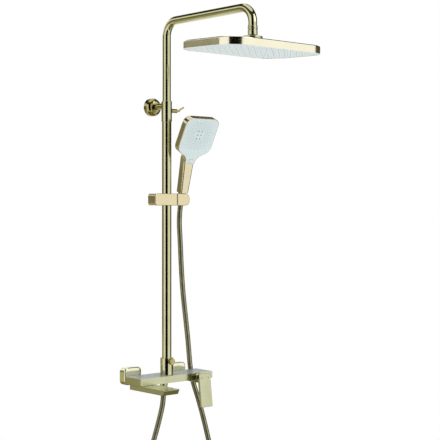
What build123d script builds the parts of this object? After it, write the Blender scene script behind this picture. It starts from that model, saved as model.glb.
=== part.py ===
"""Rainfall shower column: a wall mixer with a shelf, a telescopic riser, a rain head and a hand shower.

Millimetres. The origin lies on the wall, midway between the two water inlets. +Z is up, +X is to the right of
someone facing the wall, and the room is towards -Y.
"""
import math
import os

from build123d import *

os.makedirs("parts", exist_ok=True)

# Fits
running = 0.05  # radial play of a turning or sliding fit
easy = 0.3  # play between pieces that pass each other without guiding
seat = 0.02  # play of a piece that sits still in its seat

# Water inlets in the wall and their covers
inlet_spacing = 150.0
inlet_thread_r = 10.45
inlet_thread_length = 16.0
inlet_bore_r = 5.0
union_offset = 7.5  # the mixer's axis lies this far below the inlets
union_waist = 4.0
union_waist_r = 11.6
union_thread_r = 9.6
union_thread_length = 8.0
nut_across_flats = 23.5
nut_length = 12.0
nut_lip = 3.0
gasket_thickness = 2.0
tail_r = 7.0
tail_flange = 2.5
escutcheon_width = 55.0
escutcheon_height = 46.0
escutcheon_depth = 22.0
escutcheon_corner = 12.0
escutcheon_edge = 4.0
escutcheon_wall = 1.6

# Mixer body with its shelf
riser_to_wall = 68.0
shelf_gap = 2.0  # between the covers and the back of the shelf
shelf_left = 105.0
shelf_right = 137.0
shelf_depth = 69.0
shelf_height = 18.0
shelf_corner = 1.5
plate_border = 1.5
plate_thickness = 3.0
plate_corner = 1.0
gallery_r = 4.5

# Cartridge and lever
cartridge_x = 89.0
cartridge_drop = 14.5  # below the shelf's top
cartridge_r = 9.4
cartridge_length = 26.0
boss_r = 12.6
boss_length = 40.0
cartridge_nut_r = 12.0
cartridge_nut_length = 4.0
carrier_r = 6.4
carrier_length = 13.0
carrier_slot = 4.6
carrier_slot_depth = 9.0
tongue_width = 4.0
tongue_height = 7.0
lever_pin_r = 1.5
lever_pin_back = 4.0  # from the carrier's front end to the pin
lever_gap = 7.0  # between the cartridge nut and the lever's hub
lever_hub_r = 12.0
lever_hub_length = 8.0
lever_width = 39.0
lever_above = 14.0  # from the lever's axis up to its top edge
lever_below = 74.0
lever_thickness = 7.0
lever_lean = 7.0  # degrees, the lower end stands out
lever_edge = 1.2
mark_r = 1.6
mark_depth = 0.8
mark_spacing = 22.0
mark_above = 2.0
lever_screw_r = 2.0
lever_screw_length = 5.0

# Swivel spout
spout_x = -76.0
spout_back = 27.0  # behind the riser's axis
spout_pivot = 10.0  # behind the riser's axis
spout_front = 118.0  # in front of the riser's axis
spout_width = 50.0
spout_height = 13.5
spout_wall = 2.0
spout_edge = 1.2
spout_undercut = 7.0  # the tip slopes back by this much toward its lower edge
spout_gap = 0.6
post_r = 8.0
post_bore_r = 5.0
post_thread_r = 6.6
post_thread_length = 6.0
post_lip = 1.4
post_lip_height = 1.6
ring_section = 0.9
aerator_r = 9.5
aerator_height = 6.0
aerator_from_tip = 20.5

# Diverter under the riser
collar_r = 17.0
collar_edge = 0.8
collar_bore_r = 7.0
base_height = 20.5
base_thread_r = 10.0
base_thread_length = 6.0
housing_height = 25.0
spigot_height = 16.0
diverter_below_top = 9.0
tube_seat = 5.0
spindle_r = 2.6
spindle_in_knob = 5.0
knob_r = 8.5
knob_length = 8.0
knob_gap = 0.5
knob_flutes = 18
flute_r = 0.7

# Riser tubes
lower_tube_r = 12.5
lower_tube_wall = 1.1
upper_tube_r = 11.0
upper_tube_wall = 1.1
sleeve_bottom = 666.0
sleeve_height = 54.0
sleeve_r = 13.75
sleeve_overlap = 24.0
bush_wall = 1.3
plug_length = 24.0
plug_flange = 3.0
plug_r = 9.0
plug_bore_r = 6.0
glide_length = 12.0
upper_tube_bottom = 560.0

# Wall bracket
neck_r = 8.5
neck_below_top = 12.0
flange_r = 24.0
flange_depth = 22.0
flange_round = 13.0
base_r = 15.0
base_thickness = 5.0
base_spigot_r = 6.0
base_spigot_length = 16.0
screw_r = 2.4
screw_neck_r = 2.7
screw_head_r = 4.4
screw_head = 2.6
screw_length = 34.0
lock_below_top = 24.0
lock_r = 5.5
lock_length = 19.5
lock_thread_r = 2.6
lock_edge = 0.8
lock_pin_r = 2.3
lock_pin_bend = 3.5
lock_pin_stub = 9.5
lock_stub_r = 1.8
lock_pin_out = 23.5
lock_pin_up = 11.0
lock_pin_back = 6.0

# Arm and rain head
arm_height = 928.5
arm_reach = 334.0
arm_bend = 39.0
arm_drop_end = 880.0
nipple_r = 12.4
nipple_height = 7.0
nipple_spigot = 9.0
swivel_nut_r = 12.0
swivel_nut_height = 15.0
swivel_groove = 1.1
swivel_groove_drop = 3.0  # from the nut's top to its groove
swivel_thread_r = 10.0
swivel_thread_length = 5.0
ball_below_nipple = 9.0
ball_r = 9.0
ball_neck_r = 5.5
ball_play = 0.1
nut_mouth_r = 7.9
head_lean = 2.0  # degrees, the front edge hangs lower
boss_below_ball = 9.0
head_boss_r = 24.5
head_boss_height = 18.4
stud_thread_r = 7.0
stud_thread_length = 24.4
head_width = 314.0
head_depth = 218.0
head_height = 19.0
head_corner = 58.0
head_edge = 3.0
head_wall = 1.6
face_inset = 0.6
face_thickness = 3.0
face_margin = 0.2
mat_thickness = 1.5
chamber_wall = 2.0
nozzle_r = 1.6
nozzle_out = 0.6
nozzle_play = 0.1
nozzle_pitch = 20.0
nozzle_columns = 14
nozzle_rows = 9

# Slider and holder
slider_middle = 462.0
slider_left = 50.0
slider_right = 23.0
slider_depth = 33.0
slider_height = 31.5
slider_corner = 7.0
holder_end = 16.5  # beyond the handle's axis
holder_round = 13.0
slider_edge = 2.0
slider_bush_wall = 1.4
holder_x = 49.0
holder_gap = 0.8
pivot_r = 5.0
pivot_in_slider = 7.0
pivot_in_holder = 9.0
hose_slot = 15.6
cone_top_r = 11.0
cone_bottom_r = 9.2
cone_length = 34.0
cone_below = 15.0  # from the pivot axis down to the cone's lower end
cone_bore_r = 7.6

# Hand shower
handle_lean = 13.5  # degrees, from upright towards the room
handle_bottom = 19.6  # along the handle from the pivot axis
handle_top = 99.5
handle_bottom_width = 25.0
handle_bottom_depth = 23.5
handle_top_width = 34.4
handle_top_depth = 24.0
handle_lap = 20.0  # how far the handle runs on behind the head
handle_taper = 1.5
handle_end_round = 4.0
handle_corner = 5.0
handle_thread_r = 6.0
handle_thread_length = 12.0
face_lean = 28.5  # degrees
hand_head_width = 110.0
hand_head_top = 131.0  # along the face from the tongue's end
hand_head_bottom = 37.0
hand_neck_half = 16.8
hand_tongue_half = 16.0
hand_thickness = 20.0
hand_corner = 20.0
hand_lower_corner = 22.0
hand_neck_round = 26.0
hand_back_edge = 5.0
hand_rim = 1.8
hand_front_edge = 1.4
hand_cavity_side = 7.8
hand_cavity_end = 5.2
hand_face_thickness = 2.4
hand_mat_thickness = 1.2
hand_cavity = 9.0
hand_nozzle_r = 0.9
hand_nozzle_out = 0.6
hand_rings = ((19.6, 24), (26.4, 24), (33.2, 24), (40.0, 24))
jet_r = 1.9
jet_pitch = 11.0
jet_rise = 10.5
button_width = 11.0
button_height = 8.0
button_travel = 1.6
button_out = 2.0
button_up = 9.0
button_length = 6.0
washer_thickness = 2.0
inner_hose_r = 4.2
inner_hose_length = 31.0

# Hose
hose_r = 7.0
hose_bore_r = 4.6
hose_ribs = 190
rib_depth = 0.7
hose_end = 14.0  # plain length at each end
hose_straight = 44.0  # below the holder, along the handle's own line
hose_rise = 41.0  # below the outlet
hose_bend = 0.45  # share of the shorter run that a bend takes on each side
hose_way = (  # right of the riser, back from the riser, up
    (61.8, 20.0, 352.0),
    (76.8, 34.0, 278.0),
    (90.8, 44.0, 209.0),
    (105.6, 51.0, 143.0),
    (118.2, 55.0, 74.0),
    (124.6, 56.0, 15.0),
    (130.3, 54.0, -27.0),
    (146.0, 40.0, -93.0),
    (159.5, 26.0, -169.0),
    (172.0, 14.0, -250.0),
    (172.0, 6.0, -320.0),
    (150.0, 2.0, -390.0),
    (106.0, 0.0, -440.0),
    (54.0, 0.0, -453.0),
    (3.0, 2.0, -432.0),
    (-40.0, 4.0, -375.0),
    (-62.0, 6.0, -305.0),
    (-62.0, 8.0, -235.0),
    (-37.0, 8.0, -168.0),
    (-21.0, 3.5, -112.0),
)
outlet_x = -10.0
outlet_r = 9.0
outlet_height = 6.0
outlet_thread_r = 6.5
outlet_thread_length = 6.0
hose_nut_top_r = 10.8
hose_nut_bottom_r = 8.6
hose_nut_height = 22.0

# Places that follow from the sizes above
shelf_back = escutcheon_depth + shelf_gap
shelf_front = shelf_back + shelf_depth
shelf_middle = -union_offset
shelf_top = shelf_middle + shelf_height / 2
shelf_bottom = shelf_middle - shelf_height / 2
shelf_width = shelf_left + shelf_right
shelf_x = (shelf_right - shelf_left) / 2
shelf_y = -(shelf_back + shelf_front) / 2
riser_y = -riser_to_wall
plate_bottom = shelf_top - plate_thickness
cartridge_z = shelf_top - cartridge_drop
base_top = shelf_top + base_height
housing_top = base_top + housing_height
diverter_z = housing_top - diverter_below_top
lower_tube_bottom = housing_top - tube_seat
lower_tube_bore_r = lower_tube_r - lower_tube_wall
upper_tube_bore_r = upper_tube_r - upper_tube_wall
sleeve_top = sleeve_bottom + sleeve_height
lower_tube_top = sleeve_bottom + sleeve_overlap
neck_z = sleeve_top - neck_below_top
lock_z = sleeve_top - lock_below_top
arm_y = riser_y - arm_reach
ball_z = arm_drop_end - nipple_height - ball_below_nipple


def level(z, x=0.0, y=0.0):
    """A plane facing up."""
    return Plane(origin=(x, y, z))


def facing_room(depth, x=0.0, z=0.0):
    """A plane facing the room, that far in front of the wall."""
    return Plane(origin=(x, -depth, z), x_dir=(1, 0, 0), z_dir=(0, -1, 0))


def facing_right(x, y, z):
    """A plane facing along +X."""
    return Plane(origin=(x, y, z), x_dir=(0, 1, 0), z_dir=(1, 0, 0))


def leaning(origin, degrees, facing_front=False):
    """A plane whose own up leans towards the room: its normal is that up, or the front when facing_front."""
    lean = math.radians(degrees)
    up = (0, -math.sin(lean), math.cos(lean))
    front = (0, -math.cos(lean), -math.sin(lean))
    return Plane(origin=origin, x_dir=(1, 0, 0), z_dir=front if facing_front else up)


def rod(plane, radius, length, mode=Mode.ADD):
    """A round bar that starts on the plane and runs along its normal."""
    with Locations(plane):
        Cylinder(radius, length, align=(Align.CENTER, Align.CENTER, Align.MIN), mode=mode)


def block(plane, width, height, length, mode=Mode.ADD):
    """A square bar that starts on the plane and runs along its normal."""
    with Locations(plane):
        Box(width, height, length, align=(Align.CENTER, Align.CENTER, Align.MIN), mode=mode)


def save(piece, label):
    """Name the piece and write it."""
    piece.part.label = label
    export_step(piece.part, f"parts/{label}.step")


# Eccentric unions, nuts, gaskets and covers at the two inlets
union_end = union_waist + union_thread_length
tail_end = union_end + gasket_thickness
nut_front = tail_end + tail_flange + nut_lip
for side, hand in ((-1, "left"), (1, "right")):
    inlet_x = side * inlet_spacing / 2

    with BuildPart() as eccentric_union:
        rod(facing_room(-inlet_thread_length, inlet_x), inlet_thread_r, inlet_thread_length)
        rod(facing_room(0, inlet_x), union_waist_r, union_waist)
        rod(facing_room(0, inlet_x, shelf_middle), union_thread_r, union_end)
        rod(facing_room(-inlet_thread_length, inlet_x), inlet_bore_r, inlet_thread_length + union_waist / 2,
            Mode.SUBTRACT)
        rod(facing_room(union_waist / 4, inlet_x, shelf_middle), inlet_bore_r, union_end, Mode.SUBTRACT)
    save(eccentric_union, f"{hand}_eccentric_union")

    with BuildPart() as escutcheon:
        with BuildSketch(facing_room(0, inlet_x)):
            RectangleRounded(escutcheon_width, escutcheon_height, escutcheon_corner)
        extrude(amount=escutcheon_depth)
        fillet(escutcheon.faces().sort_by(Axis.Y)[0].edges(), escutcheon_edge)
        with BuildSketch(facing_room(0, inlet_x)):
            RectangleRounded(
                escutcheon_width - 2 * escutcheon_wall,
                escutcheon_height - 2 * escutcheon_wall,
                escutcheon_corner - escutcheon_wall,
            )
        extrude(amount=escutcheon_depth - escutcheon_wall - escutcheon_edge, mode=Mode.SUBTRACT)
        rod(facing_room(0, inlet_x, shelf_middle), nut_across_flats / math.sqrt(3) + easy,
            escutcheon_depth - escutcheon_wall, Mode.SUBTRACT)
        rod(facing_room(0, inlet_x, shelf_middle), tail_r + easy, escutcheon_depth, Mode.SUBTRACT)
    save(escutcheon, f"{hand}_escutcheon")

nut_plane = facing_room(nut_front - nut_length, 0, shelf_middle)
with BuildPart() as union_nuts:
    with BuildSketch(nut_plane):
        with GridLocations(inlet_spacing, 0, 2, 1):
            RegularPolygon(nut_across_flats / 2, 6, major_radius=False)
            Circle(tail_r + easy, mode=Mode.SUBTRACT)
    extrude(amount=nut_length)
    with BuildSketch(nut_plane):
        with GridLocations(inlet_spacing, 0, 2, 1):
            Circle(union_thread_r + seat)
    extrude(amount=nut_length - nut_lip, mode=Mode.SUBTRACT)
save(union_nuts, "union_nuts")

with BuildPart() as inlet_gaskets:
    for side in (-1, 1):
        gasket_plane = facing_room(union_end, side * inlet_spacing / 2, shelf_middle)
        rod(gasket_plane, union_thread_r, gasket_thickness)
        rod(gasket_plane, inlet_bore_r, gasket_thickness, Mode.SUBTRACT)
save(inlet_gaskets, "inlet_gaskets")


# Mixer body: a bar with a boss for the cartridge, two inlet tails and its waterways
spout_pivot_y = riser_y + spout_pivot
with BuildPart() as mixer_body:
    with BuildSketch(level(shelf_bottom, shelf_x, shelf_y)):
        RectangleRounded(shelf_width, shelf_depth, shelf_corner)
    extrude(amount=shelf_height)
    rod(facing_room(shelf_front - boss_length, cartridge_x, cartridge_z), boss_r, boss_length)
    with BuildSketch(level(plate_bottom, shelf_x, shelf_y)):
        RectangleRounded(shelf_width - 2 * plate_border, shelf_depth - 2 * plate_border, plate_corner)
    extrude(amount=plate_thickness, mode=Mode.SUBTRACT)
    for side in (-1, 1):
        tail_plane = facing_room(tail_end, side * inlet_spacing / 2, shelf_middle)
        rod(tail_plane, tail_r, shelf_back - tail_end)
        rod(tail_plane, union_thread_r, tail_flange)
        rod(tail_plane, inlet_bore_r, riser_to_wall - tail_end, Mode.SUBTRACT)
    rod(facing_right(-inlet_spacing / 2, riser_y, shelf_middle), gallery_r, inlet_spacing / 2 + cartridge_x,
        Mode.SUBTRACT)
    rod(facing_room(shelf_front - cartridge_length, cartridge_x, cartridge_z), cartridge_r + seat,
        cartridge_length,
        Mode.SUBTRACT)
    rod(level(plate_bottom - base_thread_length, 0, riser_y), base_thread_r + seat,
        base_thread_length, Mode.SUBTRACT)
    rod(level(shelf_bottom, spout_x, spout_pivot_y), post_thread_r + seat, post_thread_length, Mode.SUBTRACT)
    rod(level(shelf_bottom, outlet_x, riser_y), outlet_thread_r + seat, outlet_thread_length, Mode.SUBTRACT)
save(mixer_body, "mixer_body")

with BuildPart() as shelf_plate:
    with BuildSketch(level(plate_bottom, shelf_x, shelf_y)):
        RectangleRounded(
            shelf_width - 2 * (plate_border + seat), shelf_depth - 2 * (plate_border + seat), plate_corner
        )
        with Locations((-shelf_x, riser_y - shelf_y)):
            Circle(base_thread_r + easy, mode=Mode.SUBTRACT)
    extrude(amount=plate_thickness)
save(shelf_plate, "shelf_plate")


# Cartridge, its nut, the carrier that turns in it and the pin that the lever lifts on
carrier_front = shelf_front + cartridge_nut_length
carrier_back = carrier_front - carrier_length
pin_depth = carrier_front - lever_pin_back
with BuildPart() as cartridge:
    rod(facing_room(shelf_front - cartridge_length, cartridge_x, cartridge_z), cartridge_r, cartridge_length)
    rod(facing_room(carrier_back - easy, cartridge_x, cartridge_z), carrier_r + running, carrier_length + easy,
        Mode.SUBTRACT)
save(cartridge, "cartridge")

with BuildPart() as cartridge_nut:
    rod(facing_room(shelf_front, cartridge_x, cartridge_z), cartridge_nut_r, cartridge_nut_length)
    fillet(cartridge_nut.edges().sort_by(Axis.Y)[0], lever_edge)
    rod(facing_room(shelf_front, cartridge_x, cartridge_z), carrier_r + easy, cartridge_nut_length,
        Mode.SUBTRACT)
save(cartridge_nut, "cartridge_nut")

with BuildPart() as lever_carrier:
    rod(facing_room(carrier_back, cartridge_x, cartridge_z), carrier_r, carrier_length)
    block(facing_room(carrier_front - carrier_slot_depth, cartridge_x, cartridge_z), carrier_slot,
        2 * carrier_r,
          carrier_slot_depth, Mode.SUBTRACT)
    rod(facing_right(cartridge_x - carrier_r, -pin_depth, cartridge_z), lever_pin_r + seat, 2 * carrier_r,
        Mode.SUBTRACT)
save(lever_carrier, "lever_carrier")

pin_half = math.sqrt(carrier_r**2 - lever_pin_r**2) - easy
with BuildPart() as lever_pin:
    rod(facing_right(cartridge_x - pin_half, -pin_depth, cartridge_z), lever_pin_r, 2 * pin_half)
save(lever_pin, "lever_pin")


# Lever: a flat plate on a hub, a stem that hinges on the pin, its set screw and two marks
hub_back = carrier_front + lever_gap
lever_back = hub_back + lever_hub_length
lever_plane = leaning((cartridge_x, -lever_back, cartridge_z), -lever_lean, facing_front=True)
with BuildPart() as lever_stem:
    block(facing_room(pin_depth, cartridge_x, cartridge_z), tongue_width, tongue_height, hub_back - pin_depth)
    rod(facing_right(cartridge_x - tongue_width / 2, -pin_depth, cartridge_z), tongue_height / 2, tongue_width)
    block(facing_room(hub_back, cartridge_x, cartridge_z), tongue_height, tongue_height, lever_hub_length)
    rod(facing_right(cartridge_x - tongue_width, -pin_depth, cartridge_z), lever_pin_r + running,
        2 * tongue_width,
        Mode.SUBTRACT)
save(lever_stem, "lever_stem")

with BuildPart() as lever:
    with BuildSketch(lever_plane):
        with Locations((0, (lever_above - lever_below) / 2)):
            Rectangle(lever_width, lever_above + lever_below)
    extrude(amount=lever_thickness)
    fillet(lever.edges(), lever_edge)
    rod(facing_room(hub_back, cartridge_x, cartridge_z), lever_hub_r, lever_hub_length + lever_thickness / 2)
    block(facing_room(hub_back, cartridge_x, cartridge_z), tongue_height + 2 * seat, tongue_height + 2 * seat,
          lever_hub_length, Mode.SUBTRACT)
    rod(level(cartridge_z - lever_hub_r, cartridge_x, -(hub_back + lever_hub_length / 2)), lever_screw_r + seat,
        lever_hub_r - tongue_height / 2, Mode.SUBTRACT)
    with BuildSketch(lever_plane.offset(lever_thickness - mark_depth)):
        with Locations((0, mark_above)):
            with GridLocations(mark_spacing, 1, 2, 1):
                Circle(mark_r + seat)
    extrude(amount=mark_depth, mode=Mode.SUBTRACT)
save(lever, "lever")

with BuildPart() as lever_screw:
    rod(level(cartridge_z - tongue_height / 2 - seat - lever_screw_length, cartridge_x,
              -(hub_back + lever_hub_length / 2)), lever_screw_r, lever_screw_length)
save(lever_screw, "lever_screw")

with BuildPart() as lever_marks:
    with BuildSketch(lever_plane.offset(lever_thickness - mark_depth)):
        with Locations((0, mark_above)):
            with GridLocations(mark_spacing, 1, 2, 1):
                Circle(mark_r)
    extrude(amount=mark_depth)
save(lever_marks, "lever_marks")


# Spout: a flat hollow bar that swivels on a post under the shelf
spout_top = shelf_bottom - spout_gap
spout_bottom = spout_top - spout_height
tip_y = riser_y - spout_front
lip_r = post_r + post_lip
lip_top = spout_top - (spout_height - spout_wall - post_lip_height - 2 * easy)
lip_bottom = lip_top - post_lip_height
with BuildPart() as spout:
    with BuildSketch(Plane.YZ.offset(spout_x - spout_width / 2)):
        Polygon(
            (riser_y + spout_back, spout_top),
            (tip_y, spout_top),
            (tip_y + spout_undercut, spout_bottom),
            (riser_y + spout_back, spout_bottom),
            align=None,
        )
    extrude(amount=spout_width)
    fillet(spout.edges(), spout_edge)
    rod(level(lip_top, spout_x, spout_pivot_y), post_r + running, spout_top - lip_top, Mode.SUBTRACT)
    rod(level(lip_bottom - easy, spout_x, spout_pivot_y), lip_r + easy, post_lip_height + 2 * easy,
        Mode.SUBTRACT)
    with BuildSketch(level(spout_bottom + spout_wall, spout_x, (spout_pivot_y + tip_y + aerator_from_tip) / 2)):
        Rectangle(2 * post_bore_r, spout_pivot_y - tip_y - aerator_from_tip)
    extrude(amount=lip_top - spout_bottom - spout_wall, mode=Mode.SUBTRACT)
    rod(level(spout_bottom, spout_x, tip_y + aerator_from_tip), aerator_r + seat, aerator_height, Mode.SUBTRACT)
save(spout, "spout")

with BuildPart() as spout_post:
    rod(level(shelf_bottom, spout_x, spout_pivot_y), post_thread_r, post_thread_length)
    rod(level(lip_bottom, spout_x, spout_pivot_y), post_r, shelf_bottom - lip_bottom)
    rod(level(lip_bottom, spout_x, spout_pivot_y), lip_r, post_lip_height)
    rod(level(lip_bottom, spout_x, spout_pivot_y), post_bore_r, shelf_bottom + post_thread_length - lip_bottom,
        Mode.SUBTRACT)
    with Locations(level((spout_top + lip_top) / 2, spout_x, spout_pivot_y)):
        Torus(post_r - ring_section, ring_section + seat, mode=Mode.SUBTRACT)
save(spout_post, "spout_post")

with BuildPart() as spout_ring:
    with Locations(level((spout_top + lip_top) / 2, spout_x, spout_pivot_y)):
        Torus(post_r - ring_section, ring_section)
save(spout_ring, "spout_ring")

with BuildPart() as aerator:
    rod(level(spout_bottom, spout_x, tip_y + aerator_from_tip), aerator_r, aerator_height)
    with BuildSketch(level(spout_bottom, spout_x, tip_y + aerator_from_tip)):
        with PolarLocations(aerator_r * 0.55, 6):
            Circle(aerator_r / 5)
        Circle(aerator_r / 5)
    extrude(amount=aerator_height, mode=Mode.SUBTRACT)
save(aerator, "aerator")


# Hose outlet under the shelf and the tapered nut on it
outlet_bottom = shelf_bottom - outlet_height
nut_bottom = outlet_bottom - hose_nut_height + outlet_height
with BuildPart() as hose_outlet:
    rod(level(outlet_bottom, outlet_x, riser_y), outlet_r, outlet_height)
    rod(level(shelf_bottom, outlet_x, riser_y), outlet_thread_r, outlet_thread_length)
    rod(level(outlet_bottom, outlet_x, riser_y), hose_bore_r, outlet_height + outlet_thread_length,
        Mode.SUBTRACT)
save(hose_outlet, "hose_outlet")

with BuildPart() as lower_hose_nut:
    with Locations(level(nut_bottom, outlet_x, riser_y)):
        Cone(hose_nut_bottom_r, hose_nut_top_r, hose_nut_height - seat,
             align=(Align.CENTER, Align.CENTER, Align.MIN))
    rod(level(outlet_bottom, outlet_x, riser_y), outlet_r + seat, outlet_height, Mode.SUBTRACT)
    rod(level(nut_bottom, outlet_x, riser_y), hose_r + easy, outlet_bottom - nut_bottom, Mode.SUBTRACT)
save(lower_hose_nut, "lower_hose_nut")


# Diverter: a base screwed into the body, a housing with a spigot for the riser, a spindle and its fluted knob
knob_back = riser_to_wall + collar_r + knob_gap
with BuildPart() as diverter_base:
    rod(level(shelf_top, 0, riser_y), collar_r, base_height)
    rod(level(plate_bottom - base_thread_length, 0, riser_y), base_thread_r,
        plate_thickness + base_thread_length)
    rod(level(plate_bottom - base_thread_length, 0, riser_y), collar_bore_r,
        base_height + plate_thickness + base_thread_length, Mode.SUBTRACT)
save(diverter_base, "diverter_base")

with BuildPart() as diverter_housing:
    rod(level(base_top, 0, riser_y), collar_r, housing_height)
    fillet(diverter_housing.edges().sort_by(Axis.Z)[-1], collar_edge)
    rod(level(lower_tube_bottom, 0, riser_y), lower_tube_r + seat, tube_seat, Mode.SUBTRACT)
    rod(level(lower_tube_bottom, 0, riser_y), lower_tube_bore_r - seat, spigot_height)
    rod(level(base_top, 0, riser_y), collar_bore_r, housing_height + spigot_height, Mode.SUBTRACT)
    rod(facing_room(riser_to_wall, 0, diverter_z), spindle_r + running, collar_r, Mode.SUBTRACT)
save(diverter_housing, "diverter_housing")

with BuildPart() as diverter_spindle:
    rod(facing_room(riser_to_wall, 0, diverter_z), spindle_r, knob_back + spindle_in_knob - riser_to_wall)
    block(facing_room(riser_to_wall - spindle_r, 0, diverter_z), 2 * spindle_r, spindle_r, 2 * spindle_r)
save(diverter_spindle, "diverter_spindle")

with BuildPart() as diverter_knob:
    rod(facing_room(knob_back, 0, diverter_z), knob_r, knob_length)
    fillet(diverter_knob.edges().sort_by(Axis.Y)[0], collar_edge)
    with BuildSketch(facing_room(knob_back, 0, diverter_z)):
        with PolarLocations(knob_r, knob_flutes):
            Circle(flute_r)
    extrude(amount=knob_length, mode=Mode.SUBTRACT)
    rod(facing_room(knob_back, 0, diverter_z), spindle_r + seat, spindle_in_knob, Mode.SUBTRACT)
save(diverter_knob, "diverter_knob")


# Lower riser tube and the sleeve at its top, which guides the upper tube
bush_r = upper_tube_r + running + bush_wall
bush_top = sleeve_top - bush_wall
with BuildPart() as lower_tube:
    rod(level(lower_tube_bottom, 0, riser_y), lower_tube_r, lower_tube_top - lower_tube_bottom)
    rod(level(lower_tube_bottom, 0, riser_y), lower_tube_bore_r,
        lower_tube_top - lower_tube_bottom, Mode.SUBTRACT)
save(lower_tube, "lower_tube")

with BuildPart() as bracket_sleeve:
    rod(level(sleeve_bottom, 0, riser_y), sleeve_r, sleeve_height)
    fillet(bracket_sleeve.edges().filter_by(GeomType.CIRCLE), collar_edge)
    rod(level(sleeve_bottom, 0, riser_y), lower_tube_r + seat, sleeve_overlap, Mode.SUBTRACT)
    rod(level(lower_tube_top, 0, riser_y), bush_r + seat, bush_top - lower_tube_top, Mode.SUBTRACT)
    rod(level(sleeve_bottom, 0, riser_y), upper_tube_r + easy, sleeve_height, Mode.SUBTRACT)
    rod(facing_right(0, riser_y, lock_z), lock_thread_r + running, sleeve_r, Mode.SUBTRACT)
save(bracket_sleeve, "bracket_sleeve")

with BuildPart() as guide_bush:
    rod(level(lower_tube_top, 0, riser_y), bush_r, bush_top - lower_tube_top)
    rod(level(lower_tube_top, 0, riser_y), upper_tube_r + running, bush_top - lower_tube_top, Mode.SUBTRACT)
save(guide_bush, "guide_bush")


# Lock screw: a barrel that clamps the upper tube, with a bent pin to turn it by
lock_start = sleeve_r + easy
lock_end = lock_start + lock_length
with BuildPart() as lock_screw:
    rod(facing_right(lock_start, riser_y, lock_z), lock_r, lock_length)
    fillet(lock_screw.edges().filter_by(GeomType.CIRCLE), lock_edge)
    rod(facing_right(bush_r + running, riser_y, lock_z), lock_thread_r, lock_start - bush_r)
    rod(facing_right(lock_end - lock_pin_back, riser_y, lock_z), lock_pin_r + seat, lock_pin_back,
        Mode.SUBTRACT)
save(lock_screw, "lock_screw")

with BuildPart() as lock_pin:
    with BuildLine() as pin_line:
        FilletPolyline(
            (lock_end - lock_pin_back, riser_y, lock_z),
            (lock_end + lock_pin_bend, riser_y, lock_z),
            (lock_end + lock_pin_out, riser_y, lock_z + lock_pin_up),
            radius=2 * lock_pin_r,
        )
    with BuildSketch(facing_right(lock_end - lock_pin_back, riser_y, lock_z)):
        Circle(lock_pin_r)
    sweep(path=pin_line.wire())
    rod(facing_right(lock_end + easy, riser_y, lock_z), lock_stub_r, lock_pin_stub)
save(lock_pin, "lock_pin")


# Wall bracket: a base screwed to the wall, the neck that carries the sleeve and the flange that hides the base
spigot_end = base_thickness + base_spigot_length
with BuildPart() as bracket_base:
    rod(facing_room(0, 0, neck_z), base_r, base_thickness)
    rod(facing_room(0, 0, neck_z), base_spigot_r, spigot_end)
    rod(facing_room(0, 0, neck_z), screw_neck_r + seat, spigot_end, Mode.SUBTRACT)
    rod(facing_room(base_thickness, 0, neck_z), screw_head_r + seat, base_spigot_length, Mode.SUBTRACT)
save(bracket_base, "bracket_base")

with BuildPart() as base_screw:
    rod(facing_room(base_thickness - screw_length, 0, neck_z), screw_r, screw_length)
    rod(facing_room(0, 0, neck_z), screw_neck_r, base_thickness)
    rod(facing_room(base_thickness, 0, neck_z), screw_head_r, screw_head)
save(base_screw, "base_screw")

with BuildPart() as bracket_neck:
    rod(facing_room(base_thickness, 0, neck_z), neck_r, riser_to_wall - base_thickness)
    rod(level(neck_z - neck_r, 0, riser_y), sleeve_r, 2 * neck_r, Mode.SUBTRACT)
    rod(facing_room(base_thickness, 0, neck_z), base_spigot_r + seat, base_spigot_length, Mode.SUBTRACT)
save(bracket_neck, "bracket_neck")

with BuildPart() as wall_flange:
    rod(facing_room(0, 0, neck_z), flange_r, flange_depth)
    fillet(wall_flange.edges().sort_by(Axis.Y)[0], flange_round)
    rod(facing_room(0, 0, neck_z), base_r + easy, base_thickness + easy, Mode.SUBTRACT)
    rod(facing_room(0, 0, neck_z), neck_r + seat, flange_depth, Mode.SUBTRACT)
save(wall_flange, "wall_flange")


# Upper tube bent into the arm, with a plug and a glide ring on its lower end
plug_bottom = upper_tube_bottom - glide_length - plug_flange
with BuildPart() as arm_tube:
    with BuildLine() as arm_line:
        FilletPolyline(
            (0, riser_y, upper_tube_bottom),
            (0, riser_y, arm_height),
            (0, arm_y, arm_height),
            (0, arm_y, arm_drop_end),
            radius=arm_bend,
        )
    with BuildSketch(level(upper_tube_bottom, 0, riser_y)):
        Circle(upper_tube_r)
        Circle(upper_tube_bore_r, mode=Mode.SUBTRACT)
    sweep(path=arm_line.wire())
save(arm_tube, "arm_tube")

with BuildPart() as tube_plug:
    rod(level(plug_bottom, 0, riser_y), upper_tube_r - easy, plug_flange)
    rod(level(plug_bottom, 0, riser_y), plug_r, plug_length)
    rod(level(upper_tube_bottom, 0, riser_y), upper_tube_bore_r - seat,
        plug_bottom + plug_length - upper_tube_bottom)
    rod(level(plug_bottom, 0, riser_y), plug_bore_r, plug_length, Mode.SUBTRACT)
save(tube_plug, "tube_plug")

with BuildPart() as glide_ring:
    rod(level(upper_tube_bottom - glide_length + running, 0, riser_y), lower_tube_bore_r - running,
        glide_length - 2 * running)
    rod(level(upper_tube_bottom - glide_length, 0, riser_y), plug_r + running, glide_length, Mode.SUBTRACT)
save(glide_ring, "glide_ring")


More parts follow.
